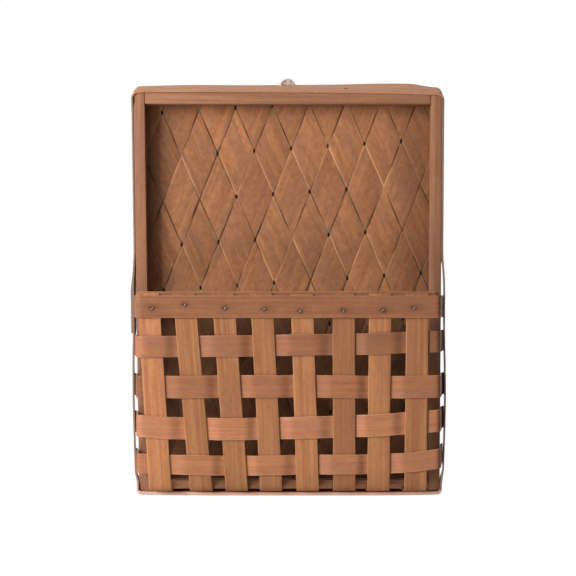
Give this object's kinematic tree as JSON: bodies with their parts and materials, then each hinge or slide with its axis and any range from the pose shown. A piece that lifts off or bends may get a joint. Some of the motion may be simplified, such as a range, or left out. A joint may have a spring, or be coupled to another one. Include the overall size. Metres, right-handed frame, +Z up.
{
  "type": "wall basket",
  "caption": "Splint wall basket: a hooped stick frame with a diagonal woven back, a shallow open-weave pocket on its lower half and a twine loop to hang it by.",
  "frame": {"origin": "on the wall plane, at the axis of the wall nail that the twine loop hangs from", "axes": "+X to the viewer's right, +Y into the wall, +Z up; the pocket faces -Y"},
  "size_m": [0.2728, 0.073, 0.3627],
  "materials": {
    "frame_wood": "stained ash stick, satin",
    "hoop_wood": "stained ash strip, satin",
    "mat_wood": "stained ash splint, satin",
    "splint_wood": "stained ash splint, satin",
    "nail_steel": "dull bright steel",
    "twine_jute": "twisted jute twine"
  },
  "bodies": {
    "root": {"left_stile": "frame_wood", "right_stile": "frame_wood", "top_rail": "frame_wood", "bottom_rail": "frame_wood", "hoop": "hoop_wood", "hoop_nail_left": "nail_steel", "hoop_nail_right": "nail_steel", "hoop_nail_top": "nail_steel", "hoop_nail_foot": "nail_steel", "mat_right_01": "mat_wood", "mat_right_02": "mat_wood", "mat_right_03": "mat_wood", "mat_right_04": "mat_wood", "mat_right_05": "mat_wood", "mat_right_06": "mat_wood", "mat_right_07": "mat_wood", "mat_right_08": "mat_wood", "mat_right_09": "mat_wood", "mat_right_10": "mat_wood", "mat_right_11": "mat_wood", "mat_right_12": "mat_wood", "mat_right_13": "mat_wood", "mat_left_01": "mat_wood", "mat_left_02": "mat_wood", "mat_left_03": "mat_wood", "mat_left_04": "mat_wood", "mat_left_05": "mat_wood", "mat_left_06": "mat_wood", "mat_left_07": "mat_wood", "mat_left_08": "mat_wood", "mat_left_09": "mat_wood", "mat_left_10": "mat_wood", "mat_left_11": "mat_wood", "mat_left_12": "mat_wood", "mat_left_13": "mat_wood", "stake_1": "splint_wood", "stake_2": "splint_wood", "stake_3": "splint_wood", "stake_4": "splint_wood", "stake_5": "splint_wood", "stake_6": "splint_wood", "stake_7": "splint_wood", "stake_8": "splint_wood", "weaver_1": "splint_wood", "weaver_2": "splint_wood", "weaver_3": "splint_wood", "weaver_4": "splint_wood", "rim_outer": "splint_wood", "rim_inner": "splint_wood", "rim_nail_1": "nail_steel", "rim_nail_2": "nail_steel", "rim_nail_3": "nail_steel", "rim_nail_4": "nail_steel", "rim_nail_5": "nail_steel", "rim_nail_6": "nail_steel", "rim_nail_7": "nail_steel", "rim_nail_8": "nail_steel", "hanging_loop": "twine_jute"}
  },
  "joints": []
}
